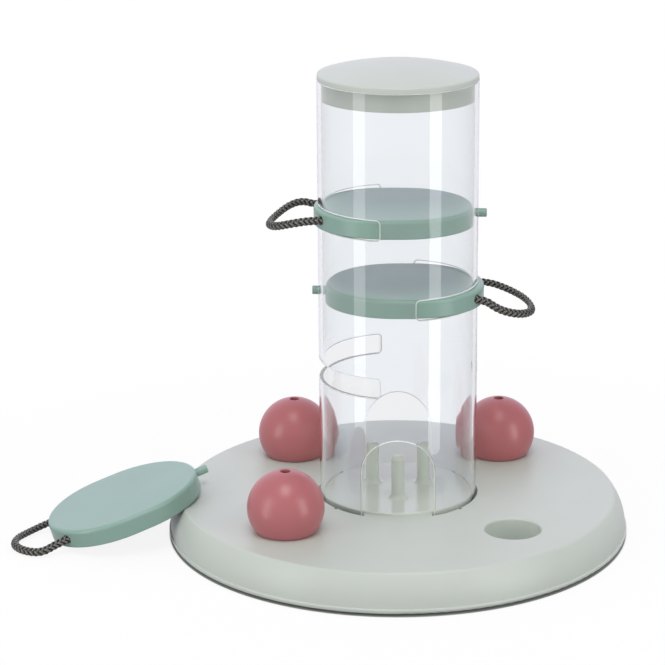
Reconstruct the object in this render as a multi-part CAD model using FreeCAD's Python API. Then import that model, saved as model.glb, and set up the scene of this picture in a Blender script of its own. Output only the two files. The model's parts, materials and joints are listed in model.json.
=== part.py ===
import FreeCAD, Part
import math
import os

# Cat puzzle tower: a round base plate with treat bowls, a clear tube with three pull-out sliders that hold
# treats back, a pull cord on each slider, a lid, and domes over the bowls. Millimetres. The origin is on
# the tube's axis at the floor, +Z is up, -Y is the front, and the upper slider comes out towards -X.

# General clearances
seat_gap = 0.3          # between a piece and what it rests on
slide_gap = 0.2         # between a slider's underside and the slot edge that carries it
hole_gap = 0.1          # all round a foot in its socket
cord_gap = 0.2          # all round a cord in its hole
floor_gap = 0.2         # under what lies on the floor without a foot of its own

# Base plate, a shell that is open underneath
base_h = 21.0           # top face above the floor
base_wall = 2.4
base_rim_r = 125.0      # outer radius of the lip
base_lip_w = 0.8        # the lip outside the side wall, rounded on top by as much
base_lip_t = 2.6
base_lip_round = 1.4    # under the lip
base_lean = 7.2         # how far the curved side comes in on its way up to the flat top
base_edge_round = 2.0   # between the flat top and the curved side

# Rubber feet
foot_r = 6.0
foot_proud = 1.4        # how far the feet hold the lip off the floor
foot_recess = 1.6
foot_post_wall = 1.6
foot_post_lift = 2.2    # underside of the posts above the floor
foot_inset = 19.0       # centre of a foot in from the rim
foot_round = 0.4

# Clear tube
tube_or = 42.5
tube_wall = 2.2
tube_top = 248.6
arch_w = 38.8
arch_top = 64.0

# Socket for the tube's foot, and the raised floor disc inside it
socket_depth = 8.0
socket_gap_out = 1.0    # the dark gap that shows round the tube
socket_gap_in = 0.2
socket_wall = 2.2
disc_rise = 1.6
disc_round = 0.7
bridge_gap = 1.3        # between the tube's leg and the bridge at each doorway

# Keys on the tube's foot, and their notches in the socket
key_angle = 49.0        # from the front or the back, to each side
key_w = 1.6
key_proud = 1.7
key_gap = 0.6
key_drop = 0.6          # top of the key under the base's top face

# Post under the middle of the disc, which stops it bending when a paw leans on it
post_r = 5.0
post_lift = 0.5         # its end above the floor
post_web_t = 1.6
post_web_h = 7.0

# Pegs on the floor disc, cored from below
peg_r = 3.5
peg_core_r = 1.8
peg_tip = 3.0           # solid height at the top of the core
peg_h = 24.0
peg_circle_r = 16.0
peg_flare = 2.8
peg_round = 2.0
peg_count = 3

# Treat bowls
bowl_r = 14.85
bowl_depth = 16.5
bowl_round = 5.0
bowl_lip_round = 1.1
bowl_wall = 2.0
bowl_inset = 41.7       # centre of a bowl in from the rim
# Bearings of the bowls in degrees, anticlockwise from +X, seen from above
bowl_bearings = {"back_right": 46.6, "back_left": 134.8, "front_left": 225.3, "front_right": 316.3}

# Ribs under the base plate
rib_t = 1.6
rib_h = 9.0
rib_count = 8

# Slider slots, from the lowest up, with the side that each slider comes out of
slot_edge = 9.3         # slot ends this far off the tube's middle plane
slot_head = 0.8         # room over a slider in its slot
slot_round = 2.3
slot_low_z = 87.0
slot_pitch = 42.5
slot_sides = (-1, 1, -1)
tongue_hole_gap = 0.45

# Lid
cap_rim_inset = 0.2     # rim inside the tube's outer face
cap_rim_h = 2.8
cap_rise = 6.0
cap_round = 1.0
cap_wall = 2.0
cap_skirt_gap = 0.4
cap_skirt_t = 1.8
cap_skirt_h = 10.0

# Domes
dome_seat = 0.26        # foot of the dome outside the bowl's rounded lip
dome_bulge = 4.14       # how far the dome swells out past its foot
dome_wall = 1.8
dome_hole_r = 2.6
dome_hole_round = 0.5
domed_bowls = ("back_left", "front_left", "back_right")

# Sliders
slider_side_gap = 2.55  # each side, to the tube's wall
slider_end_gap = 0.4    # inner end to the tube's wall, pushed right in
slider_proud = 2.1      # outer end past the tube
slider_t = 10.0
slider_wall = 2.0
slider_top_wall = 1.6
slider_top_round = 2.0
slider_foot_round = 0.6
slider_rib_t = 1.5
slider_rib_x = 14.0
tongue_r = 2.3
tongue_proud = 4.4      # past the tube, with the slider right in
tongue_round = 0.5
middle_pull = 1.2       # how far the middle slider stands pulled out

# Lower slider, pulled out and leaned on the base's edge
lean_bearing = 187.0    # where on the base's edge it rests
lean_overlap = 13.7     # how much of its length passes over that edge
lean_twist = 14.4       # its long axis against the line of the slope
lean_side = 8.4
lean_gap = 0.1          # from the plate's edge to the plane of the slider's underside

# Pull cords and their knots
cord_d = 4.5
cord_hole_y = 17.5
knot_slack = 0.5        # over and under a knot inside its slider
knot_gap = 0.3          # to the slider's wall
knot_flat = 2.6         # its flat side from its centre

# Routes of the cords, knot to knot. Each list is chosen by hand.
upper_cord_points = [
    (-35.5, -17.5, 177.2), (-45.2, -17.5, 177.2), (-55.6, -18.2, 175.7), (-64.6, -12.8, 172.6),
    (-68.8, -2.2, 171.6), (-65.4, 8.2, 173.4), (-58.2, 16.0, 177.4), (-51.2, 18.6, 179.0),
    (-43.8, 17.5, 177.2), (-35.5, 17.5, 177.2)]
middle_cord_points = [
    (36.7, -17.5, 134.7), (45.2, -17.5, 134.7), (53.4, -18.0, 128.6), (65.0, -15.0, 125.2),
    (72.2, -4.6, 124.4), (69.6, 8.0, 127.2), (59.8, 17.2, 130.4), (47.4, 17.5, 134.7),
    (36.7, 17.5, 134.7)]
lower_cord_points = [
    (-172.0, -38.0, 9.1), (-181.1, -41.7, 6.3), (-189.0, -46.6, 2.8), (-198.6, -43.8, 2.6),
    (-205.4, -36.0, 2.6), (-206.0, -25.6, 2.6), (-200.9, -16.6, 2.6), (-193.0, -8.8, 4.0),
    (-184.4, -5.4, 6.6)]

# Sizes that follow from the ones above
base_wall_foot_r = base_rim_r - base_lip_w
base_edge_r = base_wall_foot_r - base_lean
base_lip_top = foot_proud + base_lip_t
base_side_h = base_h - base_edge_round - base_lip_top
base_side_w = base_lean - base_edge_round
base_side_r = (base_lean ** 2 + base_side_h ** 2 - base_edge_round ** 2) / (2 * base_side_w)
foot_circle_r = base_rim_r - foot_inset
bowl_circle_r = base_rim_r - bowl_inset
socket_or = tube_or + socket_gap_out
tube_ir = tube_or - tube_wall
disc_r = tube_ir - socket_gap_in
disc_z = base_h + disc_rise
socket_floor = base_h - socket_depth
tube_foot = socket_floor + seat_gap
plate_under = base_h - base_wall
cap_foot = tube_top + seat_gap
dome_foot = base_h + seat_gap
cap_rim_r = tube_or - cap_rim_inset
dome_foot_r = bowl_r + bowl_lip_round + dome_seat
dome_r = dome_foot_r + dome_bulge
dome_centre_h = math.sqrt(dome_r ** 2 - dome_foot_r ** 2)
slot_h = slider_t + slide_gap + slot_head
slot_zs = [slot_low_z + i * slot_pitch for i in range(len(slot_sides))]
slider_zs = [z + slide_gap + slider_t / 2 for z in slot_zs]
slider_l = tube_ir - slider_end_gap + tube_or + slider_proud
slider_w = 2 * (tube_ir - slider_side_gap)
tongue_l = slider_end_gap + tube_wall + tongue_proud
slider_arc_r = slider_w / 2
slider_arc_x = (slider_l - slider_w) / 2
cord_r = cord_d / 2
cord_hole_r = cord_r + cord_gap
knot_r = (slider_t - slider_top_wall) / 2 - knot_slack
knot_x = -slider_arc_x - math.sqrt((slider_arc_r - slider_wall - knot_r - knot_gap) ** 2 - cord_hole_y ** 2)

lean_reach = slider_l - lean_overlap

X = FreeCAD.Vector(1, 0, 0)
Y = FreeCAD.Vector(0, 1, 0)
Z = FreeCAD.Vector(0, 0, 1)
O = FreeCAD.Vector(0, 0, 0)


def vec(x, y, z):
    return FreeCAD.Vector(x, y, z)


def line(a, b):
    """Straight edge in the XZ plane between two (radius, height) points."""
    return Part.LineSegment(vec(a[0], 0, a[1]), vec(b[0], 0, b[1])).toShape()


def arc(a, mid, b):
    """Arc in the XZ plane through three (radius, height) points."""
    return Part.Arc(vec(a[0], 0, a[1]), vec(mid[0], 0, mid[1]), vec(b[0], 0, b[1])).toShape()


def on_circle(centre, r, degrees):
    """Point of a circle in the XZ plane, as (radius, height)."""
    a = math.radians(degrees)
    return (centre[0] + r * math.cos(a), centre[1] + r * math.sin(a))


def turned(edges):
    """Solid of revolution about Z from a closed chain of edges in the XZ plane."""
    face = Part.Face(Part.Wire(edges))
    return face.revolve(O, Z, 360)


def ring(r_out, r_in, z0, z1):
    outer = Part.makeCylinder(r_out, z1 - z0, vec(0, 0, z0))
    return outer.cut(Part.makeCylinder(r_in, z1 - z0, vec(0, 0, z0)))


def block(x0, x1, y0, y1, z0, z1):
    return Part.makeBox(x1 - x0, y1 - y0, z1 - z0, vec(x0, y0, z0))


def spun(shape, degrees, at=O, axis=Z):
    out = shape.copy()
    out.rotate(at, axis, degrees)
    return out


def polar(r, degrees, z=0.0):
    a = math.radians(degrees)
    return vec(r * math.cos(a), r * math.sin(a), z)


def moved(shape, offset):
    out = shape.copy()
    out.translate(offset)
    return out


def one_solid(shape):
    """The single solid of a result, without seams that its pieces left."""
    shape = shape.removeSplitter()
    if len(shape.Solids) != 1:
        raise ValueError("expected one solid, found %d" % len(shape.Solids))
    return shape.Solids[0]


def save(name, shape):
    shape.exportStep("parts/%s.step" % name)
    solids = shape.Solids
    volume = sum(s.Volume for s in solids)
    print("%-24s %d solid(s) %10.1f mm3 valid %s" % (name, len(solids), volume, shape.isValid()))


def base_shell():
    """The plate's shell: flat top, curved side, lip, and the tube's socket round the raised disc."""
    edge_c = (base_edge_r, base_h - base_edge_round)
    side_c = (base_wall_foot_r - base_side_r, base_lip_top)
    tangent = math.degrees(math.atan2(edge_c[1] - side_c[1], edge_c[0] - side_c[0]))
    side_top = on_circle(edge_c, base_edge_round, tangent)
    lip_top_c = (base_rim_r - base_lip_w, base_lip_top - base_lip_w)
    lip_foot_c = (base_rim_r - base_lip_round, foot_proud + base_lip_round)
    lip_foot = (lip_foot_c[0], foot_proud)
    disc_c = (disc_r - disc_round, disc_z - disc_round)
    outside = [
        line((0, disc_z), (disc_c[0], disc_z)),
        arc((disc_c[0], disc_z), on_circle(disc_c, disc_round, 45), (disc_r, disc_c[1])),
        line((disc_r, disc_c[1]), (disc_r, socket_floor)),
        line((disc_r, socket_floor), (socket_or, socket_floor)),
        line((socket_or, socket_floor), (socket_or, base_h)),
        line((socket_or, base_h), (base_edge_r, base_h)),
        arc((base_edge_r, base_h), on_circle(edge_c, base_edge_round, (90 + tangent) / 2), side_top),
        arc(side_top, on_circle(side_c, base_side_r, tangent / 2), (base_wall_foot_r, base_lip_top)),
        arc((lip_top_c[0], base_lip_top), on_circle(lip_top_c, base_lip_w, 45), (base_rim_r, lip_top_c[1])),
        line((base_rim_r, lip_top_c[1]), (base_rim_r, lip_foot_c[1])),
        arc((base_rim_r, lip_foot_c[1]), on_circle(lip_foot_c, base_lip_round, -45), lip_foot),
    ]
    inner_side_r = base_side_r - base_wall
    inner_foot_r = base_wall_foot_r - base_wall
    inner_top = math.degrees(math.asin((plate_under - side_c[1]) / inner_side_r))
    inner_edge = on_circle(side_c, inner_side_r, inner_top)
    socket_out = (socket_or + socket_wall, socket_floor - socket_wall)
    socket_in = (disc_r - socket_wall, disc_z - base_wall)
    inside = [
        line(lip_foot, (inner_foot_r, foot_proud)),
        line((inner_foot_r, foot_proud), (inner_foot_r, base_lip_top)),
        arc((inner_foot_r, base_lip_top), on_circle(side_c, inner_side_r, inner_top / 2), inner_edge),
        line(inner_edge, (socket_out[0], plate_under)),
        line((socket_out[0], plate_under), socket_out),
        line(socket_out, (socket_in[0], socket_out[1])),
        line((socket_in[0], socket_out[1]), socket_in),
        line(socket_in, (0, socket_in[1])),
        line((0, socket_in[1]), (0, disc_z)),
    ]
    return turned(outside + inside)


def bowl_cutter():
    """Hollow of one treat bowl, with the rounded lip at its mouth."""
    floor_z = base_h - bowl_depth
    round_c = (bowl_r - bowl_round, floor_z + bowl_round)
    lip_c = (bowl_r + bowl_lip_round, base_h - bowl_lip_round)
    above = base_h + disc_rise
    return turned([
        line((0, floor_z), (round_c[0], floor_z)),
        arc((round_c[0], floor_z), on_circle(round_c, bowl_round, -45), (bowl_r, round_c[1])),
        line((bowl_r, round_c[1]), (bowl_r, lip_c[1])),
        arc((bowl_r, lip_c[1]), on_circle(lip_c, bowl_lip_round, 135), (lip_c[0], base_h)),
        line((lip_c[0], base_h), (lip_c[0], above)),
        line((lip_c[0], above), (0, above)),
        line((0, above), (0, floor_z)),
    ])


def bowl_cup():
    """Outside of one bowl, hanging from the plate."""
    r = bowl_r + bowl_wall
    floor_z = base_h - bowl_depth - bowl_wall
    round_c = (bowl_r - bowl_round, floor_z + bowl_round + bowl_wall)
    top = plate_under + base_wall / 2
    return turned([
        line((0, floor_z), (round_c[0], floor_z)),
        arc((round_c[0], floor_z), on_circle(round_c, bowl_round + bowl_wall, -45), (r, round_c[1])),
        line((r, round_c[1]), (r, top)),
        line((r, top), (0, top)),
        line((0, top), (0, floor_z)),
    ])


def peg():
    """One upright peg with a flared foot and a rounded top."""
    sunk = disc_z - base_wall / 2
    flare_c = (peg_r + peg_flare, disc_z + peg_flare)
    top = disc_z + peg_h
    round_c = (peg_r - peg_round, top - peg_round)
    return turned([
        line((0, sunk), (flare_c[0], sunk)),
        line((flare_c[0], sunk), (flare_c[0], disc_z)),
        arc((flare_c[0], disc_z), on_circle(flare_c, peg_flare, 225), (peg_r, flare_c[1])),
        line((peg_r, flare_c[1]), (peg_r, round_c[1])),
        arc((peg_r, round_c[1]), on_circle(round_c, peg_round, 45), (round_c[0], top)),
        line((round_c[0], top), (0, top)),
        line((0, top), (0, sunk)),
    ])


def peg_core():
    """Hole up the middle of a peg from the underside."""
    return Part.makeCylinder(peg_core_r, disc_z + peg_h - peg_tip - socket_floor, vec(0, 0, socket_floor))


def centre_post():
    """Post under the floor disc, with webs out to the wall of the tube's socket."""
    top = disc_z - base_wall / 2
    post = Part.makeCylinder(post_r, top - post_lift, vec(0, 0, post_lift))
    web_end = disc_r - socket_wall / 2
    web = block(post_r / 2, web_end, -post_web_t / 2, post_web_t / 2, disc_z - base_wall - post_web_h, top)
    return [post] + [spun(web, i * 90) for i in range(4)]


def key_angles():
    """Bearings of the four keys: both sides of the front and of the back."""
    return [90 + side * key_angle + half for half in (0, 180) for side in (-1, 1)]


def base_plate():
    body = base_shell()
    half_bridge = arch_w / 2 - bridge_gap
    half_wall = socket_wall / 2
    bridge = ring(socket_or + half_wall, disc_r - half_wall, socket_floor - half_wall, base_h)
    bridge = bridge.common(block(-half_bridge, half_bridge, -base_rim_r, base_rim_r, 0, base_h))
    body = body.fuse(bridge)
    rib_in = socket_or + socket_wall / 2
    rib_out = base_edge_r
    rib = block(rib_in, rib_out, -rib_t / 2, rib_t / 2, plate_under - rib_h, plate_under + base_wall / 4)
    recess_r = foot_r + hole_gap
    post_h = plate_under + base_wall / 4 - foot_post_lift
    post = Part.makeCylinder(recess_r + foot_post_wall, post_h, vec(0, 0, foot_post_lift))
    recess = Part.makeCylinder(recess_r, foot_recess, vec(0, 0, foot_post_lift))
    added = [spun(rib, (i + 0.5) * 360 / rib_count) for i in range(rib_count)]
    added += [moved(post, polar(foot_circle_r, a)) for a in foot_bearings()]
    added += [moved(bowl_cup(), polar(bowl_circle_r, a)) for a in bowl_bearings.values()]
    added += [moved(peg(), polar(peg_circle_r, a)) for a in peg_bearings()]
    body = body.fuse(added + centre_post())
    cut = [moved(recess, polar(foot_circle_r, a)) for a in foot_bearings()]
    cut += [moved(bowl_cutter(), polar(bowl_circle_r, a)) for a in bowl_bearings.values()]
    cut += [moved(peg_core(), polar(peg_circle_r, a)) for a in peg_bearings()]
    notch_r = tube_or + key_proud + key_gap
    half_notch = key_w / 2 + key_gap
    notch = block(disc_r + tube_wall / 2, notch_r, -half_notch, half_notch, socket_floor, disc_z)
    cut += [spun(notch, a) for a in key_angles()]
    return one_solid(body.cut(cut))


def foot_bearings():
    return [0, 90, 180, 270]


def peg_bearings():
    return [270 + i * 360 / peg_count for i in range(peg_count)]


def rubber_foot(bearing):
    top = foot_post_lift + foot_recess - hole_gap
    disc = Part.makeCylinder(foot_r, top)
    lower = [e for e in disc.Edges if e.BoundBox.ZMax < foot_round and len(e.Vertexes) == 1]
    return moved(disc.makeFillet(foot_round, lower), polar(foot_circle_r, bearing))


def rounded_slot(side, z0):
    """What one slider slot takes out of the tube: a slab past a plane, with rounded inner corners."""
    far = tube_or + key_proud
    slab = block(slot_edge, far, -far, far, z0, z0 + slot_h)
    inner = [e for e in slab.Edges if abs(e.BoundBox.XMax - slot_edge) < 1e-6 and e.BoundBox.YLength > far]
    slab = slab.makeFillet(slot_round, inner)
    return slab if side > 0 else spun(slab, 180)


def tower_tube():
    body = ring(tube_or, tube_ir, tube_foot, tube_top)
    key_top = base_h - key_drop
    key = block(tube_or - tube_wall / 2, tube_or + key_proud, -key_w / 2, key_w / 2, tube_foot, key_top)
    body = body.fuse([spun(key, a) for a in key_angles()])
    far = tube_or + key_proud
    arch_z = arch_top - arch_w / 2
    doorway = block(-arch_w / 2, arch_w / 2, -far, far, tube_foot, arch_z)
    doorway = doorway.fuse(Part.makeCylinder(arch_w / 2, 2 * far, vec(0, -far, arch_z), Y))
    cut = [doorway]
    for side, slot_z, slider_z in zip(slot_sides, slot_zs, slider_zs):
        cut.append(rounded_slot(side, slot_z))
        start = vec(0, 0, slider_z)
        cut.append(Part.makeCylinder(tongue_r + tongue_hole_gap, far, start, X * -side))
    return one_solid(body.cut(cut))


def dome_arc(r, rim_z, rise):
    """Centre height and radius of the flat dome that stands `rise` high over a circle of radius r."""
    sphere = (r * r + rise * rise) / (2 * rise)
    return rim_z + rise - sphere, sphere


def tower_cap():
    rim_top = cap_foot + cap_rim_h
    round_r = cap_rim_r - cap_round
    centre_z, sphere = dome_arc(cap_rim_r, rim_top, cap_rise)
    edge_z = centre_z + math.sqrt(sphere ** 2 - round_r ** 2)
    mid_r = round_r / 2
    skirt_or = tube_ir - cap_skirt_gap
    skirt_ir = skirt_or - cap_skirt_t
    inner = sphere - cap_wall

    def roof(radius, r):
        return centre_z + math.sqrt(radius ** 2 - r ** 2)

    corner = on_circle((round_r, edge_z - cap_round), cap_round, 45)
    foot = cap_foot - cap_skirt_h
    roof_mid = (skirt_ir / 2, roof(inner, skirt_ir / 2))
    return turned([
        arc((0, rim_top + cap_rise), (mid_r, roof(sphere, mid_r)), (round_r, edge_z)),
        arc((round_r, edge_z), corner, (cap_rim_r, edge_z - cap_round)),
        line((cap_rim_r, edge_z - cap_round), (cap_rim_r, cap_foot)),
        line((cap_rim_r, cap_foot), (skirt_or, cap_foot)),
        line((skirt_or, cap_foot), (skirt_or, foot)),
        line((skirt_or, foot), (skirt_ir, foot)),
        line((skirt_ir, foot), (skirt_ir, roof(inner, skirt_ir))),
        arc((skirt_ir, roof(inner, skirt_ir)), roof_mid, (0, roof(inner, 0))),
        line((0, roof(inner, 0)), (0, rim_top + cap_rise)),
    ])


def treat_dome(bearing):
    """Hollow dome with a flat foot and a rounded hole on top, over one bowl."""
    centre = (0, dome_foot + dome_centre_h)
    inner = dome_r - dome_wall
    low = -dome_centre_h

    def at(radius, height):
        return (math.sqrt(radius ** 2 - height ** 2), centre[1] + height)

    mouth_r = dome_hole_r + dome_hole_round
    mouth = (mouth_r, centre[1] + math.sqrt(dome_r ** 2 - mouth_r ** 2))
    mouth_c = (mouth_r, mouth[1] - dome_hole_round)
    hole_foot = (dome_hole_r, centre[1] + math.sqrt(inner ** 2 - dome_hole_r ** 2))
    body = turned([
        arc(at(dome_r, low), (dome_r, centre[1]), mouth),
        arc(mouth, on_circle(mouth_c, dome_hole_round, 135), (dome_hole_r, mouth_c[1])),
        line((dome_hole_r, mouth_c[1]), hole_foot),
        arc(hole_foot, (inner, centre[1]), at(inner, low)),
        line(at(inner, low), at(dome_r, low)),
    ])
    return moved(body, polar(bowl_circle_r, bearing))


def stadium(inset, z0, z1):
    """Upright prism of the slider's outline, drawn in by `inset`."""
    r = slider_arc_r - inset
    x = slider_arc_x
    edges = [
        Part.LineSegment(vec(-x, -r, z0), vec(x, -r, z0)).toShape(),
        Part.Arc(vec(x, -r, z0), vec(x + r, 0, z0), vec(x, r, z0)).toShape(),
        Part.LineSegment(vec(x, r, z0), vec(-x, r, z0)).toShape(),
        Part.Arc(vec(-x, r, z0), vec(-x - r, 0, z0), vec(-x, -r, z0)).toShape(),
    ]
    return Part.Face(Part.Wire(edges)).extrude(vec(0, 0, z1 - z0))


def slider_body():
    """One slider about its own centre: tongue towards +X, cord holes at the -X end, closed side up."""
    half = slider_t / 2
    body = stadium(0, -half, half)
    top = [e for e in body.Edges if e.BoundBox.ZMin > half - 1e-6]
    body = body.makeFillet(slider_top_round, top)
    foot = [e for e in body.Edges if e.BoundBox.ZMax < -half + 1e-6]
    body = body.makeFillet(slider_foot_round, foot)
    body = body.cut(stadium(slider_wall, -half, half - slider_top_wall))
    roof = half - slider_top_wall / 2
    inside = slider_wall / 2
    half_rib = slider_rib_t / 2
    half_l = slider_l / 2 - inside
    half_w = math.sqrt((slider_arc_r - inside) ** 2 - (slider_rib_x + half_rib - slider_arc_x) ** 2)
    long_rib = block(-half_l, half_l, -half_rib, half_rib, -half, roof)
    cross = block(-half_rib, half_rib, -half_w, half_w, -half, roof)
    ribs = [long_rib] + [moved(cross, X * side * slider_rib_x) for side in (-1, 1)]
    tip = slider_l / 2 + tongue_l
    tongue = Part.makeCylinder(tongue_r, tip - half_l, vec(half_l, 0, 0), X)
    end = [e for e in tongue.Edges if e.BoundBox.XMin > tip - 1e-6]
    tongue = tongue.makeFillet(tongue_round, end)
    body = body.fuse(ribs + [tongue])
    holes = []
    for side in (-1, 1):
        start = vec(knot_x, side * cord_hole_y, 0)
        holes.append(Part.makeCylinder(cord_hole_r, slider_l, start, X * -1))
    return one_solid(body.cut(holes))


def knots(place):
    """The two stopper knots inside a placed slider, front one first, each flat where its cord enters."""
    ball = Part.makeSphere(knot_r)
    off = block(-2 * knot_r, -knot_flat, -knot_r, knot_r, -knot_r, knot_r)
    knot = ball.cut(off).Solids[0]
    z = -slider_top_wall / 2
    both = [placed(moved(knot, vec(knot_x, side * cord_hole_y, z)), place) for side in (-1, 1)]
    return sorted(both, key=lambda shape: shape.CenterOfMass.y)


def slider_placement(side, pull, z):
    """Placement of a slider in its slot: side is the way it comes out, pull is how far it is out."""
    shift = tube_ir - slider_end_gap - pull - slider_l / 2
    turn = 0 if side < 0 else 180
    return FreeCAD.Placement(vec(-side * shift, 0, z), FreeCAD.Rotation(Z, turn))


def leaning_placement():
    """Placement of the slider that leans on the base, its underside over the floor and the plate's edge."""
    edge_z = base_h - base_edge_round - floor_gap
    slope = math.atan2(edge_z, lean_reach)
    slope += math.asin((base_edge_round + lean_gap) / math.hypot(lean_reach, edge_z))
    bearing = math.radians(lean_bearing)
    out = vec(math.cos(bearing), math.sin(bearing), 0)
    up_slope = out * -math.cos(slope) + Z * math.sin(slope)
    normal = out * math.sin(slope) + Z * math.cos(slope)
    across = normal.cross(up_slope)
    twist = math.radians(lean_twist)
    long_axis = up_slope * math.cos(twist) + across * math.sin(twist)
    wide_axis = normal.cross(long_axis)
    low_line = out * (base_edge_r + lean_reach) + Z * floor_gap
    rise = slider_arc_x * math.cos(twist) + slider_arc_r
    centre = low_line + up_slope * rise + across * lean_side + normal * (slider_t / 2)
    rotation = FreeCAD.Rotation(long_axis, wide_axis, normal, "ZXY")
    return FreeCAD.Placement(centre, rotation)


def placed(shape, placement):
    out = shape.copy()
    out.Placement = placement.multiply(out.Placement)
    return out


def cord_tube(name, points):
    """Round cord along straight runs joined by tangent arcs, each as large as its two runs allow."""
    pts = [vec(*p) for p in points]
    edges = []
    radii = []
    start = pts[0]
    for a, b, c in zip(pts, pts[1:], pts[2:]):
        into, away = (b - a).normalize(), (c - b).normalize()
        turn = math.acos(max(-1.0, min(1.0, into.dot(away))))
        trim = 0.45 * min((b - a).Length, (c - b).Length)
        radii.append(trim / math.tan(turn / 2))
        begin, end = b - into * trim, b + away * trim
        bisector = (away - into).normalize()
        centre_gap = radii[-1] / math.cos(turn / 2)
        mid = b + bisector * (centre_gap - radii[-1])
        edges.append(Part.LineSegment(start, begin).toShape())
        edges.append(Part.Arc(begin, mid, end).toShape())
        start = end
    edges.append(Part.LineSegment(start, pts[-1]).toShape())
    path = Part.Wire(edges)
    direction = (pts[1] - pts[0]).normalize()
    section = Part.Wire(Part.makeCircle(cord_r, pts[0], direction))
    tube = path.makePipeShell([section], True, False)
    length = path.Length
    share = tube.Volume / (math.pi * cord_r ** 2 * length)
    print("%s length %.1f mm, volume share %.4f" % (name, length, share))
    print("%s radii %s" % (name, [round(r, 1) for r in radii]))
    return tube.Solids[0] if tube.Solids else tube


def build():
    save("base_plate", base_plate())
    for name, bearing in zip(("foot_right", "foot_back", "foot_left", "foot_front"), foot_bearings()):
        save(name, rubber_foot(bearing))
    save("tower_tube", tower_tube())
    save("tower_cap", one_solid(tower_cap()))
    for spot in domed_bowls:
        save("dome_" + spot, treat_dome(bowl_bearings[spot]))
    body = slider_body()
    places = {
        "upper": slider_placement(slot_sides[2], 0, slider_zs[2]),
        "middle": slider_placement(slot_sides[1], middle_pull, slider_zs[1]),
        "lower": leaning_placement(),
    }
    cords = {"upper": upper_cord_points, "middle": middle_cord_points, "lower": lower_cord_points}
    for level, place in places.items():
        save(level + "_slider", placed(body, place))
        for end, knot in zip(("front", "back"), knots(place)):
            save("%s_knot_%s" % (level, end), knot)
        save(level + "_cord", cord_tube(level, cords[level]))


build()
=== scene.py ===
import json
import math

import bpy
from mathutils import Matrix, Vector


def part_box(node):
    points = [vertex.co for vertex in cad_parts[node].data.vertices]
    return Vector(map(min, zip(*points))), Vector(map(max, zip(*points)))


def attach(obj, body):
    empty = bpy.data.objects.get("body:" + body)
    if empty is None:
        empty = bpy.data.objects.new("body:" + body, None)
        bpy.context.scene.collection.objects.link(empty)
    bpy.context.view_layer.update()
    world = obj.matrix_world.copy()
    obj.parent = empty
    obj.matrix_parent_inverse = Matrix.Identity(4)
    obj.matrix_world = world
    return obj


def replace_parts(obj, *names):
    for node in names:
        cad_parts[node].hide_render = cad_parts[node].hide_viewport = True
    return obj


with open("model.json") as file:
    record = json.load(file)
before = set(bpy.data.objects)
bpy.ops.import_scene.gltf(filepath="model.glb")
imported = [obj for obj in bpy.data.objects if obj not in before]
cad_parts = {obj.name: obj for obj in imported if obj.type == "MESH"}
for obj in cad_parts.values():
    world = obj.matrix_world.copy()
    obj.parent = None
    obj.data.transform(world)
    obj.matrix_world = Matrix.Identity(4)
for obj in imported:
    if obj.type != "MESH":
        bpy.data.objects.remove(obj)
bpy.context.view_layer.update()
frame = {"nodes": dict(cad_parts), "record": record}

# Camera: fitted to the photograph's base rim, tower sides and lid, in metres and radians
CAMERA_PLACE = Vector((-0.00106, -1.23337, 0.48701))
CAMERA_PITCH = 0.296
IMAGE_SIDE = 665
FOCAL_PIXELS = 2404.5
TOWER_AXIS_PIXEL = 396.0
SENSOR_WIDTH = 36.0
CLIP_NEAR = 0.05
CLIP_FAR = 50.0

# Cords: the routes of the three pull loops, each with its length, and their braid, in metres
CORD_DIAMETER = 0.0045
ROUTE_ORDER = 3
ROUTE_RESOLUTION = 24
CORD_ROUTES = {
    "upper": (0.0867, [
        (-0.0355, -0.0175, 0.1772), (-0.0452, -0.0175, 0.1772), (-0.0556, -0.0182, 0.1757),
        (-0.0646, -0.0128, 0.1726), (-0.0688, -0.0022, 0.1716), (-0.0654, 0.0082, 0.1734),
        (-0.0582, 0.0160, 0.1774), (-0.0512, 0.0186, 0.1790), (-0.0438, 0.0175, 0.1772),
        (-0.0355, 0.0175, 0.1772),
    ]),
    "middle": (0.0916, [
        (0.0367, -0.0175, 0.1347), (0.0452, -0.0175, 0.1347), (0.0534, -0.0180, 0.1286),
        (0.0650, -0.0150, 0.1252), (0.0722, -0.0046, 0.1244), (0.0696, 0.0080, 0.1272),
        (0.0598, 0.0172, 0.1304), (0.0474, 0.0175, 0.1347), (0.0367, 0.0175, 0.1347),
    ]),
    "lower": (0.0802, [
        (-0.1720, -0.0380, 0.0091), (-0.1811, -0.0417, 0.0063), (-0.1890, -0.0466, 0.0028),
        (-0.1986, -0.0438, 0.0026), (-0.2054, -0.0360, 0.0026), (-0.2060, -0.0256, 0.0026),
        (-0.2009, -0.0166, 0.0026), (-0.1930, -0.0088, 0.0040), (-0.1844, -0.0054, 0.0066),
    ]),
}
CORD_WIDTH_SHARE = 1.06
CORD_DEPTH_SHARE = 0.84
BRAID_LAY = 0.0104      # along the cord, while a strand goes once round
STRANDS_EACH_WAY = 4
STRAND_WIDTH = 0.00168
STRAND_THICKNESS = 0.00112
STRAND_CRIMP = 0.00048
CRIMP_SHARPNESS = 2.2
RING_STEP = 0.00030
STRAND_SIDES = 12
CORE_SHARE = 0.60
CROWN_PLACE = 0.25      # the outermost line of a strand, as a share of the way round it
CROWN_NEAR = 0.03
CROWN_FAR = 0.15
KNOT_TURN_RADIUS = 0.00072
KNOT_RISE = 0.00125
KNOT_CORD = 0.0027
KNOT_STEPS = 220
MILLIMETRES = 1000

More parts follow.
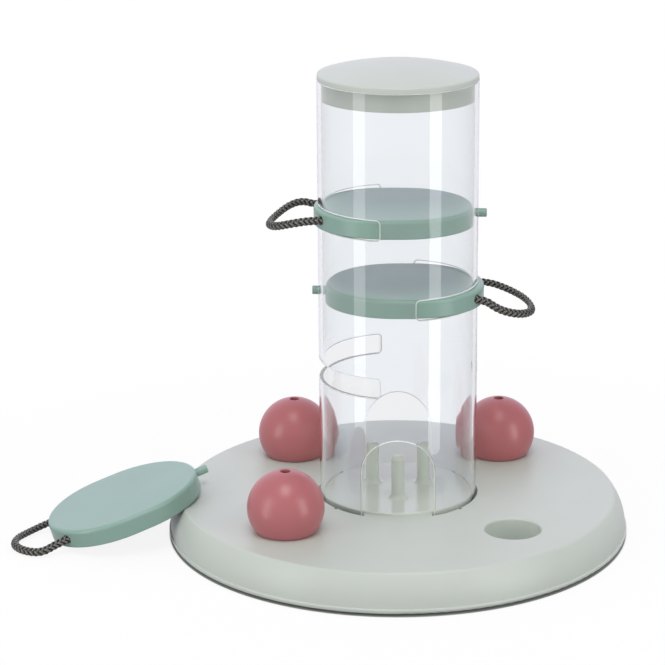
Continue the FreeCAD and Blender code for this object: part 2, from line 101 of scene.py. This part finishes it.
# Clear tube: how it was cut, and the light that it lets through
TUBE_RADIUS = 0.0425
ROUND_WALL_LEAST = 0.9  # a face that looks outward less than this is a cut
ROOF_MOST = -0.9        # a cut that looks down more than this is an opening's roof
WALL, CUT, ROOF = 0, 1, 2
TUBE_SHADOW = (1.0, 0.99, 0.94, 1.0)
EDGE_BEAD = 0.00050
EDGE_BEAD_INSET = 0.00014
EDGE_BEAD_SIDES = 8
MESH_SLACK = 0.00002

# Colours on screen, from 0 to 255, as a darker and a lighter tone that a material mottles between
PALE = (199, 206, 199), (203, 210, 203)
GREEN = (141, 173, 162), (145, 177, 166)
ROSE = (181, 105, 110), (185, 109, 114)
RUBBER = (128, 130, 127), (140, 142, 139)
# The cord's lighter tone on each strand's crown is partly wear and partly a painted highlight.
YARN = (18, 18, 18), (150, 147, 140)
CLEAR_BODY = (0.943, 0.958, 0.976, 1.0)
CUT_BODY = (0.54, 0.56, 0.55, 1.0)
# The bead's near-white is a painted highlight along the tube's cut corners, on frosted plastic.
BEAD_HIGHLIGHT_BODY = (0.95, 0.97, 0.96, 1.0)

# Surfaces: an index of refraction and a roughness for each plastic. A denoised render shows dark
# curls where a roughness wanders across about 0.27, so every satin one stays above that.
PLASTIC_IOR = 1.5
YARN_IOR = 1.6
PALE_ROUGHNESS = 0.40
GREEN_ROUGHNESS = 0.31
ROSE_ROUGHNESS = 0.31
WEAR_SWING = 0.05
DISC_ROUGHNESS = 0.14
CLEAR_ROUGHNESS = (0.010, 0.035)
CUT_ROUGHNESS = (0.32, 0.52)
BEAD_ROUGHNESS = (0.28, 0.36)
RUBBER_ROUGHNESS = (0.66, 0.84)
YARN_ROUGHNESS = (0.28, 0.42)
CUT_TRANSMISSION = 0.30
BEAD_TRANSMISSION = 0.45
SHEEN = {"Sheen Weight": 0.06, "Sheen Roughness": 0.4}

# Noises: cells in a metre, levels of detail and, for some, how rough the finer levels are
MOTTLING = (22.0, 3.0)
WEAR = (60.0, 1.0)
WAVES = (35.0, 1.0)
GRAIN = (2600.0, 2.0, 0.6)
CLEAR_HAZE = (45.0, 3.0)
CLEAR_FLOW = (26.0, 1.0)
CUT_MARKS = (900.0, 2.0)
BEAD_MARKS = (700.0, 2.0)
RUBBER_TONES = (300.0,)
RUBBER_WEAR = (900.0, 3.0)
RUBBER_GRAIN = (3000.0,)
UPRIGHT_FLOW = (1.0, 1.0, 0.12)
UPRIGHT_MARKS = (1.0, 1.0, 0.25)
FIBRE_NOISE = {"Scale": 1.0, "Detail": 3.0, "Roughness": 0.65}
FIBRE_STRETCH = (22.0, 2.2, 1.0)
# Which fibres on a strand's crown take the lighter tone: wear and a painted highlight.
FIBRE_WEAR_AND_HIGHLIGHT = (0.36, 0.62)

# Bumps: a height in metres and a strength
WAVE_BUMP = (0.0004, 0.12)
GRAIN_BUMP = (0.00003, 0.03)
CLEAR_BUMP = (0.0004, 0.10)
CUT_BUMP = (0.00004, 0.4)
BEAD_BUMP = (0.00003, 0.15)
RUBBER_BUMP = (0.00005, 0.3)
FIBRE_BUMP = (0.00010, 0.6)

# The polished floor disc inside the tower, and the level from which the lid is satin again
DISC_RADIUS = 0.0401
DISC_LEVEL = 0.0224
LID_LEVEL = 0.2286
FADE = 0.001

# Stage: lamps as seen from the object, with the angles in degrees; azimuth 0 is towards the camera
LAMPS = {
    "left_softbox": dict(azimuth=-56, elevation=6, distance=1.50, size=(0.50, 1.50), watts=6.8),
    "right_softbox": dict(azimuth=54, elevation=6, distance=1.50, size=(0.50, 1.50), watts=8.8),
    "top_softbox": dict(azimuth=-2, elevation=70, distance=2.40, size=(1.00, 1.30), watts=16.7),
}
LAMP_AIM = Vector((0.0, 0.0, 0.09))
ROOM_AMBIENT = (0.355, 0.355, 0.355)
ROOM_GLOWS = {
    "back": dict(towards=(0.0, 1.0, 0.3), power=3.0, colour=(0.81, 0.76, 0.98)),
    "front": dict(towards=(0.0, -1.0, 0.3), power=1.0, colour=(0.18, 0.18, 0.17)),
    "left": dict(towards=(-1.0, 0.0, 0.1), power=1.0, colour=(0.28, 0.28, 0.28)),
}
WHITE = (1.0, 1.0, 1.0, 1.0)
FLOOR_SIDE = 9.0
FLOOR_PAPER = {"Base Color": (0.50, 0.50, 0.50, 1.0), "Roughness": 0.9, "Specular IOR Level": 0.2}
PLATE_RADIUS = 0.1245
# Painted shade: the floor under the plate takes this grey, darker than its own shading alone would
# make it.
UNDER_PLATE_PAINTED_SHADE = (0.42, 0.43, 0.41, 1.0)
ONE_WALL = 0.92         # how bright the backdrop shows through the tube's near wall alone
ONE_WALL_DEPTH = 2.5    # a ray that has met fewer surfaces than this has crossed one wall at most
NO_BOUNCE = 0.5
SHADOW_SHARE = 0.12     # how much of the floor's real shading shows near the plate
SHADOW_NEAR = 0.24
SHADOW_FAR = 0.36


def linear(colour):
    """A colour written as 0 to 255 on screen, as the linear values that shaders take."""
    parts = [value / 255 for value in colour]
    return tuple(p / 12.92 if p <= 0.04045 else ((p + 0.055) / 1.055) ** 2.4
                 for p in parts) + (1.0,)


def add_camera():
    """The photograph's viewpoint: pitched down, with the tower right of the picture's centre."""
    lens = bpy.data.cameras.new("photo_camera")
    lens.sensor_width = SENSOR_WIDTH
    lens.lens = FOCAL_PIXELS / IMAGE_SIDE * SENSOR_WIDTH
    lens.shift_x = (IMAGE_SIDE / 2 - TOWER_AXIS_PIXEL) / IMAGE_SIDE
    lens.clip_start = CLIP_NEAR
    lens.clip_end = CLIP_FAR
    camera = bpy.data.objects.new("photo_camera", lens)
    camera.location = CAMERA_PLACE
    camera.rotation_euler = (math.pi / 2 - CAMERA_PITCH, 0.0, 0.0)
    bpy.context.scene.collection.objects.link(camera)
    bpy.context.scene.camera = camera


class Nodes:
    """A node tree: add makes a node, join links an output to an input."""

    def __init__(self, tree):
        self.tree = tree

    def add(self, kind, values=None, **settings):
        node = self.tree.nodes.new(kind)
        for key, value in settings.items():
            setattr(node, key, value)
        for socket, value in (values or {}).items():
            node.inputs[socket].default_value = value
        return node

    def join(self, source, target):
        self.tree.links.new(source, target)

    def place(self):
        return self.add("ShaderNodeTexCoord").outputs["Object"]

    def noise(self, scale, detail=2.0, roughness=0.5, stretch=None):
        """A noise over the object's own coordinates, with scale in cells per metre."""
        node = self.add("ShaderNodeTexNoise",
                        {"Scale": scale, "Detail": detail, "Roughness": roughness})
        vector = self.place()
        if stretch:
            mapping = self.add("ShaderNodeMapping", {"Scale": stretch})
            self.join(vector, mapping.inputs["Vector"])
            vector = mapping.outputs["Vector"]
        self.join(vector, node.inputs["Vector"])
        return node.outputs["Fac"]

    def range(self, value, low, high, from_low=0.3, from_high=0.7):
        """value, mapped from its usual span to low and high."""
        node = self.add("ShaderNodeMapRange", {"From Min": from_low, "From Max": from_high,
                                               "To Min": low, "To Max": high})
        self.join(value, node.inputs["Value"])
        return node.outputs["Result"]

    def blend(self, factor, first, second):
        """A colour between two others."""
        node = self.add("ShaderNodeMix", data_type="RGBA")
        node.inputs[6].default_value = first
        node.inputs[7].default_value = second
        self.join(factor, node.inputs[0])
        return node.outputs[2]

    def math(self, operation, *values):
        """A sum on numbers and on other nodes' outputs."""
        node = self.add("ShaderNodeMath", operation=operation)
        for socket, value in zip(node.inputs, values):
            if isinstance(value, float):
                socket.default_value = value
            else:
                self.join(value, socket)
        return node.outputs[0]

    def mixed(self, factor, first, second):
        """A shader between two others."""
        node = self.add("ShaderNodeMixShader")
        self.join(factor, node.inputs[0])
        self.join(first.outputs[0], node.inputs[1])
        self.join(second.outputs[0], node.inputs[2])
        return node

    def bump(self, height, distance, strength, below=None):
        node = self.add("ShaderNodeBump", {"Distance": distance, "Strength": strength})
        self.join(height, node.inputs["Height"])
        if below is not None:
            self.join(below, node.inputs["Normal"])
        return node.outputs["Normal"]


class Paint(Nodes):
    """A material's nodes, with its main shader and its output."""

    def __init__(self, name):
        self.material = bpy.data.materials.new(name)
        self.material.use_nodes = True
        super().__init__(self.material.node_tree)
        self.shader = self.tree.nodes["Principled BSDF"]
        self.output = self.tree.nodes["Material Output"]

    def constants(self, values):
        for socket, value in values.items():
            self.shader.inputs[socket].default_value = value


def moulded_plastic(name, tones, roughness):
    """Satin moulded plastic: faint flow mottling, a fine spark-eroded grain and a slow waviness."""
    paint = Paint(name)
    mottling = paint.range(paint.noise(*MOTTLING), 0.0, 1.0)
    paint.join(paint.blend(mottling, *map(linear, tones)), paint.shader.inputs["Base Color"])
    worn = paint.range(paint.noise(*WEAR), roughness - WEAR_SWING, roughness + WEAR_SWING, 0.0, 1.0)
    paint.join(worn, paint.shader.inputs["Roughness"])
    waves = paint.bump(paint.noise(*WAVES), *WAVE_BUMP)
    fine = paint.bump(paint.noise(*GRAIN), *GRAIN_BUMP, waves)
    paint.join(fine, paint.shader.inputs["Normal"])
    paint.constants({"IOR": PLASTIC_IOR})
    return paint


def pale_plastic():
    """Satin all over, but polished on the floor disc inside the tower, where treats have to slide."""
    paint = moulded_plastic("pale_plastic", PALE, PALE_ROUGHNESS)
    satin = paint.shader.inputs["Roughness"].links[0].from_socket
    split = paint.add("ShaderNodeSeparateXYZ")
    paint.join(paint.place(), split.inputs[0])
    flat = paint.add("ShaderNodeCombineXYZ")
    paint.join(split.outputs["X"], flat.inputs["X"])
    paint.join(split.outputs["Y"], flat.inputs["Y"])
    away = paint.add("ShaderNodeVectorMath", operation="LENGTH")
    paint.join(flat.outputs[0], away.inputs[0])
    on_disc = paint.range(away.outputs["Value"], 1.0, 0.0, DISC_RADIUS, DISC_RADIUS + FADE)
    above = paint.range(split.outputs["Z"], 0.0, 1.0, DISC_LEVEL - FADE, DISC_LEVEL)
    below_lid = paint.range(split.outputs["Z"], 1.0, 0.0, LID_LEVEL, LID_LEVEL + FADE)
    polished = paint.math("MULTIPLY", paint.math("MULTIPLY", on_disc, above), below_lid)
    rough = paint.add("ShaderNodeMix", data_type="FLOAT")
    rough.inputs[3].default_value = DISC_ROUGHNESS
    paint.join(polished, rough.inputs[0])
    paint.join(satin, rough.inputs[2])
    paint.join(rough.outputs[0], paint.shader.inputs["Roughness"])
    return paint.material


def clear_plastic():
    """Clear polished plastic, with a faint haze and the slow waves of drawn tube."""
    paint = Paint("clear_plastic")
    paint.constants({"Base Color": CLEAR_BODY, "Transmission Weight": 1.0, "IOR": PLASTIC_IOR})
    paint.join(paint.range(paint.noise(*CLEAR_HAZE), *CLEAR_ROUGHNESS),
               paint.shader.inputs["Roughness"])
    paint.join(paint.bump(paint.noise(*CLEAR_FLOW, stretch=UPRIGHT_FLOW), *CLEAR_BUMP),
               paint.shader.inputs["Normal"])
    lets_light_in(paint)
    return paint.material


def cut_edge():
    """The clear plastic's sawn and routed edges: greyish and matt, with fine marks of the tool."""
    return cut_plastic("clear_plastic_edge", CUT_BODY, CUT_TRANSMISSION, CUT_MARKS,
                       CUT_ROUGHNESS, CUT_BUMP, UPRIGHT_MARKS)


def edge_bead():
    """The softened corners of those cuts: frosted clear plastic, painted near-white so that each
    shows as a bright highlight line.
    """
    return cut_plastic("clear_plastic_bead", BEAD_HIGHLIGHT_BODY, BEAD_TRANSMISSION, BEAD_MARKS,
                       BEAD_ROUGHNESS, BEAD_BUMP)


def cut_plastic(name, body, transmission, tool_marks, roughness, bump, stretch=None):
    """Clear plastic that a tool has roughened, with marks that show in its gloss and its relief."""
    paint = Paint(name)
    paint.constants({"Base Color": body, "Transmission Weight": transmission, "IOR": PLASTIC_IOR})
    marks = paint.noise(*tool_marks, stretch=stretch)
    paint.join(paint.range(marks, *roughness), paint.shader.inputs["Roughness"])
    paint.join(paint.bump(marks, *bump), paint.shader.inputs["Normal"])
    lets_light_in(paint)
    return paint.material


def lets_light_in(paint):
    """Light from the lamps passes this material, dimmed, and isn't stopped by its refraction."""
    open_way = paint.add("ShaderNodeBsdfTransparent", {"Color": TUBE_SHADOW})
    path = paint.add("ShaderNodeLightPath")
    mix = paint.mixed(path.outputs["Is Shadow Ray"], paint.shader, open_way)
    paint.join(mix.outputs[0], paint.output.inputs["Surface"])


def foot_rubber():
    """Dark matt rubber with a fine, uneven grain."""
    paint = Paint("foot_rubber")
    tones = paint.range(paint.noise(*RUBBER_TONES), 0.0, 1.0)
    paint.join(paint.blend(tones, *map(linear, RUBBER)), paint.shader.inputs["Base Color"])
    paint.join(paint.range(paint.noise(*RUBBER_WEAR), *RUBBER_ROUGHNESS),
               paint.shader.inputs["Roughness"])
    paint.join(paint.bump(paint.noise(*RUBBER_GRAIN), *RUBBER_BUMP), paint.shader.inputs["Normal"])
    return paint.material


def dark_cord():
    """Dark polyester yarn: fibres run along each strand, worn lighter where its crown stands out, and
    lighter still there as a painted highlight.
    """
    paint = Paint("dark_cord")
    across = paint.add("ShaderNodeUVMap", uv_map="strand")
    fibres = paint.add("ShaderNodeTexNoise", FIBRE_NOISE)
    mapping = paint.add("ShaderNodeMapping", {"Scale": FIBRE_STRETCH})
    paint.join(across.outputs["UV"], mapping.inputs["Vector"])
    paint.join(mapping.outputs["Vector"], fibres.inputs["Vector"])
    fibre = fibres.outputs["Fac"]
    split = paint.add("ShaderNodeSeparateXYZ")
    paint.join(across.outputs["UV"], split.inputs[0])
    off_crown = paint.math("ABSOLUTE",
                           paint.math("SUBTRACT", split.outputs["X"], CROWN_PLACE))
    crown = paint.range(off_crown, 1.0, 0.0, CROWN_NEAR, CROWN_FAR)
    # Painted highlight: the crown of each strand is lightened, partly as wear and partly as the glint
    # that light makes there.
    worn = paint.math("MULTIPLY", crown, paint.range(fibre, 0.0, 1.0, *FIBRE_WEAR_AND_HIGHLIGHT))
    paint.join(paint.blend(worn, *map(linear, YARN)), paint.shader.inputs["Base Color"])
    paint.join(paint.range(fibre, *YARN_ROUGHNESS), paint.shader.inputs["Roughness"])
    paint.join(paint.bump(fibre, *FIBRE_BUMP), paint.shader.inputs["Normal"])
    paint.constants({"IOR": YARN_IOR, **SHEEN})
    return paint.material


def smooth_route(name, points):
    """The points of a cord's smooth line: a NURBS spline held by the route's own points."""
    curve = bpy.data.curves.new(name, "CURVE")
    curve.dimensions = "3D"
    curve.resolution_u = ROUTE_RESOLUTION
    spline = curve.splines.new("NURBS")
    spline.points.add(len(points) - 1)
    for knot, point in zip(spline.points, points):
        knot.co = (*point, 1.0)
    spline.order_u = ROUTE_ORDER
    spline.use_endpoint_u = True
    holder = bpy.data.objects.new(name, curve)
    mesh = bpy.data.meshes.new_from_object(holder)
    line = [vertex.co.copy() for vertex in mesh.vertices]
    bpy.data.meshes.remove(mesh)
    bpy.data.objects.remove(holder)
    bpy.data.curves.remove(curve)
    return line


def evenly(line, step):
    """The line's points again, about step apart, and their true distance along the line."""
    walked = [0.0]
    for here, there in zip(line, line[1:]):
        walked.append(walked[-1] + (there - here).length)
    count = max(2, round(walked[-1] / step))
    points, at = [], 0
    for index in range(count + 1):
        along = walked[-1] * index / count
        while at < len(line) - 2 and walked[at + 1] < along:
            at += 1
        share = (along - walked[at]) / max(walked[at + 1] - walked[at], 1e-9)
        points.append(line[at].lerp(line[at + 1], share))
    return points, walked[-1] / count


def carried_frames(points):
    """At each point the line's direction and a side vector that turns as little as it can."""
    side = None
    frames = []
    for index, point in enumerate(points):
        along = (points[min(index + 1, len(points) - 1)] - points[max(index - 1, 0)]).normalized()
        if side is None:
            side = along.orthogonal().normalized()
        side = (side - along * side.dot(along)).normalized()
        frames.append((point, along, side, along.cross(side)))
    return frames


class Shape:
    """Vertices, faces and, for strands, a place along and across each strand."""

    def __init__(self):
        self.points = []
        self.faces = []
        self.marks = []

    def tube(self, centres, outward, width, thickness, sides):
        """A closed tube with an oval section: width across, thickness along the outward vectors."""
        first = len(self.points)
        walked = 0.0
        for index, (centre, out) in enumerate(zip(centres, outward)):
            ahead = centres[min(index + 1, len(centres) - 1)]
            along = (ahead - centres[max(index - 1, 0)]).normalized()
            out = (out - along * out.dot(along)).normalized()
            across = along.cross(out)
            if index:
                walked += (centre - centres[index - 1]).length
            for corner in range(sides):
                turn = math.tau * corner / sides
                self.points.append(centre + across * (math.cos(turn) * width / 2)
                                   + out * (math.sin(turn) * thickness / 2))
                self.marks.append((corner / sides, walked * MILLIMETRES))
        for ring in range(len(centres) - 1):
            base = first + ring * sides
            for corner in range(sides):
                after = (corner + 1) % sides
                self.faces.append((base + corner, base + after,
                                   base + sides + after, base + sides + corner))
        self.faces.append(tuple(first + corner for corner in reversed(range(sides))))
        last = first + (len(centres) - 1) * sides
        self.faces.append(tuple(last + corner for corner in range(sides)))

    def piece(self, name, material, body):
        mesh = bpy.data.meshes.new(name)
        mesh.from_pydata(self.points, [], self.faces)
        if self.marks:
            layer = mesh.uv_layers.new(name="strand")
            for loop in mesh.loops:
                layer.data[loop.index].uv = self.marks[loop.vertex_index]
        mesh.shade_smooth()
        mesh.materials.append(material)
        thing = bpy.data.objects.new(name, mesh)
        bpy.context.scene.collection.objects.link(thing)
        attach(thing, body)
        return thing


def braid(shape, line, diameter):
    """Strands wound both ways round a core, each over two of the others and then under two."""
    points, step = evenly(line, RING_STEP)
    frames = carried_frames(points)
    scale = diameter / CORD_DIAMETER
    lay = BRAID_LAY * scale
    inset = (STRAND_THICKNESS / 2 + STRAND_CRIMP) * scale
    wide = diameter * CORD_WIDTH_SHARE / 2 - inset
    deep = diameter * CORD_DEPTH_SHARE / 2 - inset
    for way in (1, -1):
        for strand in range(STRANDS_EACH_WAY):
            start = math.tau * (strand + (0.0 if way > 0 else 0.5)) / STRANDS_EACH_WAY
            centres, outward = [], []
            for index, (point, _, side, up) in enumerate(frames):
                turn = start + way * math.tau * index * step / lay
                wave = CRIMP_SHARPNESS * math.sin(2 * turn)
                over = way * math.tanh(wave) / math.tanh(CRIMP_SHARPNESS)
                out = (side * (math.cos(turn) * deep) + up * (math.sin(turn) * wide)).normalized()
                middle = side * (math.cos(turn) * wide) + up * (math.sin(turn) * deep)
                centres.append(point + middle + out * (STRAND_CRIMP * scale * over))
                outward.append(out)
            shape.tube(centres, outward, STRAND_WIDTH * scale, STRAND_THICKNESS * scale,
                       STRAND_SIDES)
    core = diameter * CORE_SHARE
    shape.tube(points, [side for _, _, side, _ in frames], core, core, STRAND_SIDES)


def pull_cord(body, points, material):
    """One loop of braided cord, with its ends inside its slider's two holes."""
    route = [Vector(point) for point in points]
    line = smooth_route(body + "_cord_route", route)
    shape = Shape()
    braid(shape, line, CORD_DIAMETER)
    cord = shape.piece(body + "_braid", material, body)
    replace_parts(cord, body + "_cord")


def stopper_knot(body, end, points, material):
    """The cord's end tied behind its hole, as a trefoil pulled tight where the plain ball stands."""
    node = "%s_knot_%s" % (body, end)
    low, high = (Vector(corner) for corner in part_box(node))
    centre = (low + high) / 2
    ends = ((points[0], points[1]), (points[-1], points[-2]))
    tip, before = min(ends, key=lambda pair: (Vector(pair[0]) - centre).length)
    inward = Vector(before) - Vector(tip)
    turned = inward.to_track_quat("Z", "Y")
    line = []
    for index in range(KNOT_STEPS + 1):
        turn = math.tau * index / KNOT_STEPS
        loop = Vector(((math.sin(turn) + 2 * math.sin(2 * turn)) * KNOT_TURN_RADIUS,
                       (math.cos(turn) - 2 * math.cos(2 * turn)) * KNOT_TURN_RADIUS,
                       -math.sin(3 * turn) * KNOT_RISE))
        line.append(centre + turned @ loop)
    shape = Shape()
    braid(shape, line, KNOT_CORD)
    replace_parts(shape.piece(body + "_tied_" + end, material, body), node)


def backdrop_rays(nodes):
    """Two numbers: 1 where a ray sees the backdrop straight or through the tube, and how bright
    it shows there."""
    path = nodes.add("ShaderNodeLightPath").outputs
    straight = nodes.math("MAXIMUM", path["Is Camera Ray"], path["Is Transmission Ray"])
    no_diffuse = nodes.math("LESS_THAN", path["Diffuse Depth"], NO_BOUNCE)
    no_mirror = nodes.math("LESS_THAN", path["Glossy Depth"], NO_BOUNCE)
    one_wall = nodes.math("LESS_THAN", path["Transmission Depth"], ONE_WALL_DEPTH)
    seen = nodes.math("MULTIPLY", nodes.math("MULTIPLY", straight, no_diffuse),
                      nodes.math("MAXIMUM", no_mirror, one_wall))
    through_one = nodes.math("MULTIPLY", path["Is Transmission Ray"], one_wall)
    dimmed = nodes.math("MULTIPLY", through_one, no_mirror)
    return seen, nodes.range(dimmed, 1.0, ONE_WALL, 0.0, 1.0)


def stage():
    """A plain pale floor, white to the eye, with painted shade in the dark gap under the plate and a
    soft shadow.
    """
    half = FLOOR_SIDE / 2
    mesh = bpy.data.meshes.new("floor")
    corners = [(-half, -half, 0), (half, -half, 0), (half, half, 0), (-half, half, 0)]
    mesh.from_pydata(corners, [], [(0, 1, 2, 3)])
    floor = bpy.data.objects.new("floor", mesh)
    bpy.context.scene.collection.objects.link(floor)
    paint = Paint("floor_paper")
    paint.constants(FLOOR_PAPER)
    seen, brightness = backdrop_rays(paint)
    glow = paint.add("ShaderNodeEmission", {"Color": WHITE})
    paint.join(brightness, glow.inputs["Strength"])
    away = paint.add("ShaderNodeVectorMath", operation="LENGTH")
    paint.join(paint.place(), away.inputs[0])
    faint = paint.range(away.outputs["Value"], SHADOW_SHARE, 0.0, SHADOW_NEAR, SHADOW_FAR)
    # Painted shade under the plate: there the floor shows its full shading, in a grey colour.
    under = paint.range(away.outputs["Value"], 1.0, 0.0, PLATE_RADIUS, PLATE_RADIUS + FADE)
    shaded = paint.add("ShaderNodeBsdfDiffuse")
    paint.join(paint.blend(under, WHITE, UNDER_PLATE_PAINTED_SHADE), shaded.inputs["Color"])
    shown = paint.mixed(paint.math("MAXIMUM", faint, under), glow, shaded)
    mix = paint.mixed(seen, paint.shader, shown)
    paint.join(mix.outputs[0], paint.output.inputs["Surface"])
    mesh.materials.append(paint.material)
    floor.visible_glossy = False


def surroundings():
    """A studio room with soft glows from its sides, and plain white where it is looked at."""
    world = bpy.data.worlds.new("studio_room")
    bpy.context.scene.world = world
    world.use_nodes = True
    nodes = Nodes(world.node_tree)
    direction = nodes.add("ShaderNodeTexCoord").outputs["Generated"]
    total = None
    for glow in ROOM_GLOWS.values():
        facing = nodes.add("ShaderNodeVectorMath", {1: Vector(glow["towards"]).normalized()},
                           operation="DOT_PRODUCT")
        nodes.join(direction, facing.inputs[0])
        ahead = nodes.math("MAXIMUM", facing.outputs["Value"], 0.0)
        tinted = nodes.add("ShaderNodeVectorMath", {0: glow["colour"]}, operation="SCALE")
        nodes.join(nodes.math("POWER", ahead, glow["power"]), tinted.inputs["Scale"])
        add = nodes.add("ShaderNodeVectorMath", operation="ADD")
        nodes.join(tinted.outputs[0], add.inputs[0])
        if total is None:
            add.inputs[1].default_value = ROOM_AMBIENT
        else:
            nodes.join(total, add.inputs[1])
        total = add.outputs[0]
    room = nodes.tree.nodes["Background"]
    nodes.join(total, room.inputs["Color"])
    seen, brightness = backdrop_rays(nodes)
    white = nodes.add("ShaderNodeBackground", {"Color": WHITE})
    nodes.join(brightness, white.inputs["Strength"])
    mix = nodes.mixed(seen, room, white)
    nodes.join(mix.outputs[0], nodes.tree.nodes["World Output"].inputs["Surface"])


def lamps():
    """Soft rectangular lamps that face the object, out of sight themselves."""
    for name, lamp in LAMPS.items():
        azimuth, elevation = math.radians(lamp["azimuth"]), math.radians(lamp["elevation"])
        away = Vector((math.sin(azimuth) * math.cos(elevation),
                       -math.cos(azimuth) * math.cos(elevation), math.sin(elevation)))
        light = bpy.data.lights.new(name, "AREA")
        light.shape = "RECTANGLE"
        light.size, light.size_y = lamp["size"]
        light.energy = lamp["watts"]
        thing = bpy.data.objects.new(name, light)
        thing.location = LAMP_AIM + away * lamp["distance"]
        thing.rotation_euler = away.to_track_quat("Z", "Y").to_euler()
        thing.visible_camera = False
        thing.visible_transmission = False
        bpy.context.scene.collection.objects.link(thing)


def dress(node, material):
    """One construction node in one material."""
    mesh = frame["nodes"][node].data
    mesh.materials.clear()
    mesh.materials.append(material)


def mark_cut_edges(node, material, roof_material):
    """The faces of an upright tube that aren't part of its round walls take another material, and
    the roofs of its openings, which are seen from inside the wall, a third."""
    mesh = frame["nodes"][node].data
    mesh.materials.append(material)
    mesh.materials.append(roof_material)
    for face in mesh.polygons:
        radial = Vector((face.center.x, face.center.y, 0.0)).normalized()
        if abs(face.normal.dot(radial)) < ROUND_WALL_LEAST:
            face.material_index = ROOF if face.normal.z < ROOF_MOST else CUT


def outer_corner_chains(node):
    """Rows of points along the outer corners where an upright tube's wall meets its cut faces."""
    mesh = frame["nodes"][node].data
    spots, sides = {}, {}
    for face in mesh.polygons:
        for ends in face.edge_keys:
            places = [mesh.vertices[index].co for index in ends]
            off_wall = [abs(math.hypot(place.x, place.y) - TUBE_RADIUS) for place in places]
            if max(off_wall) > MESH_SLACK:
                continue
            keys = tuple(tuple(round(value / MESH_SLACK) for value in place) for place in places)
            spots.update(zip(keys, [place.copy() for place in places]))
            sides.setdefault(tuple(sorted(keys)), set()).add(face.material_index)
    beside = {}
    for (first, second), materials in sides.items():
        if WALL in materials and len(materials) > 1 and first != second:
            beside.setdefault(first, set()).add(second)
            beside.setdefault(second, set()).add(first)
    chains = []
    while beside:
        here = min(beside, key=lambda key: (len(beside[key]) != 1, key))
        chain = [spots[here]]
        while beside.get(here):
            after = min(beside[here])
            for one, other in ((here, after), (after, here)):
                beside[one].discard(other)
                if not beside[one]:
                    del beside[one]
            here = after
            chain.append(spots[here])
        chains.append(chain)
    return chains


def edge_beads(node, body, material):
    """The softened corners of the tube's cuts: a thin bead of the same plastic along each."""
    shape = Shape()
    for chain in outer_corner_chains(node):
        points, _ = evenly(chain, EDGE_BEAD)
        outward = [Vector((point.x, point.y, 0.0)).normalized() for point in points]
        centres = [point - out * EDGE_BEAD_INSET for point, out in zip(points, outward)]
        shape.tube(centres, outward, EDGE_BEAD, EDGE_BEAD, EDGE_BEAD_SIDES)
    shape.piece("tower_cut_edges", material, body)


add_camera()
cord_yarn = dark_cord()
for body, (length, points) in CORD_ROUTES.items():
    pull_cord(body, points, cord_yarn)
    for end in ("front", "back"):
        stopper_knot(body, end, points, cord_yarn)

SLOT_MATERIALS = {
    "pale_plastic": pale_plastic(),
    "green_plastic": moulded_plastic("green_plastic", GREEN, GREEN_ROUGHNESS).material,
    "rose_plastic": moulded_plastic("rose_plastic", ROSE, ROSE_ROUGHNESS).material,
    "clear_plastic": clear_plastic(),
    "foot_rubber": foot_rubber(),
    "dark_cord": cord_yarn,
}
for part in frame["record"]["subparts"]:
    dress(part["node"], SLOT_MATERIALS[part["material_slot"]])

mark_cut_edges("tower_tube", cut_edge(), SLOT_MATERIALS["clear_plastic"])
edge_beads("tower_tube", "tower", edge_bead())

stage()
surroundings()
lamps()
bpy.context.scene.view_settings.view_transform = "Standard"
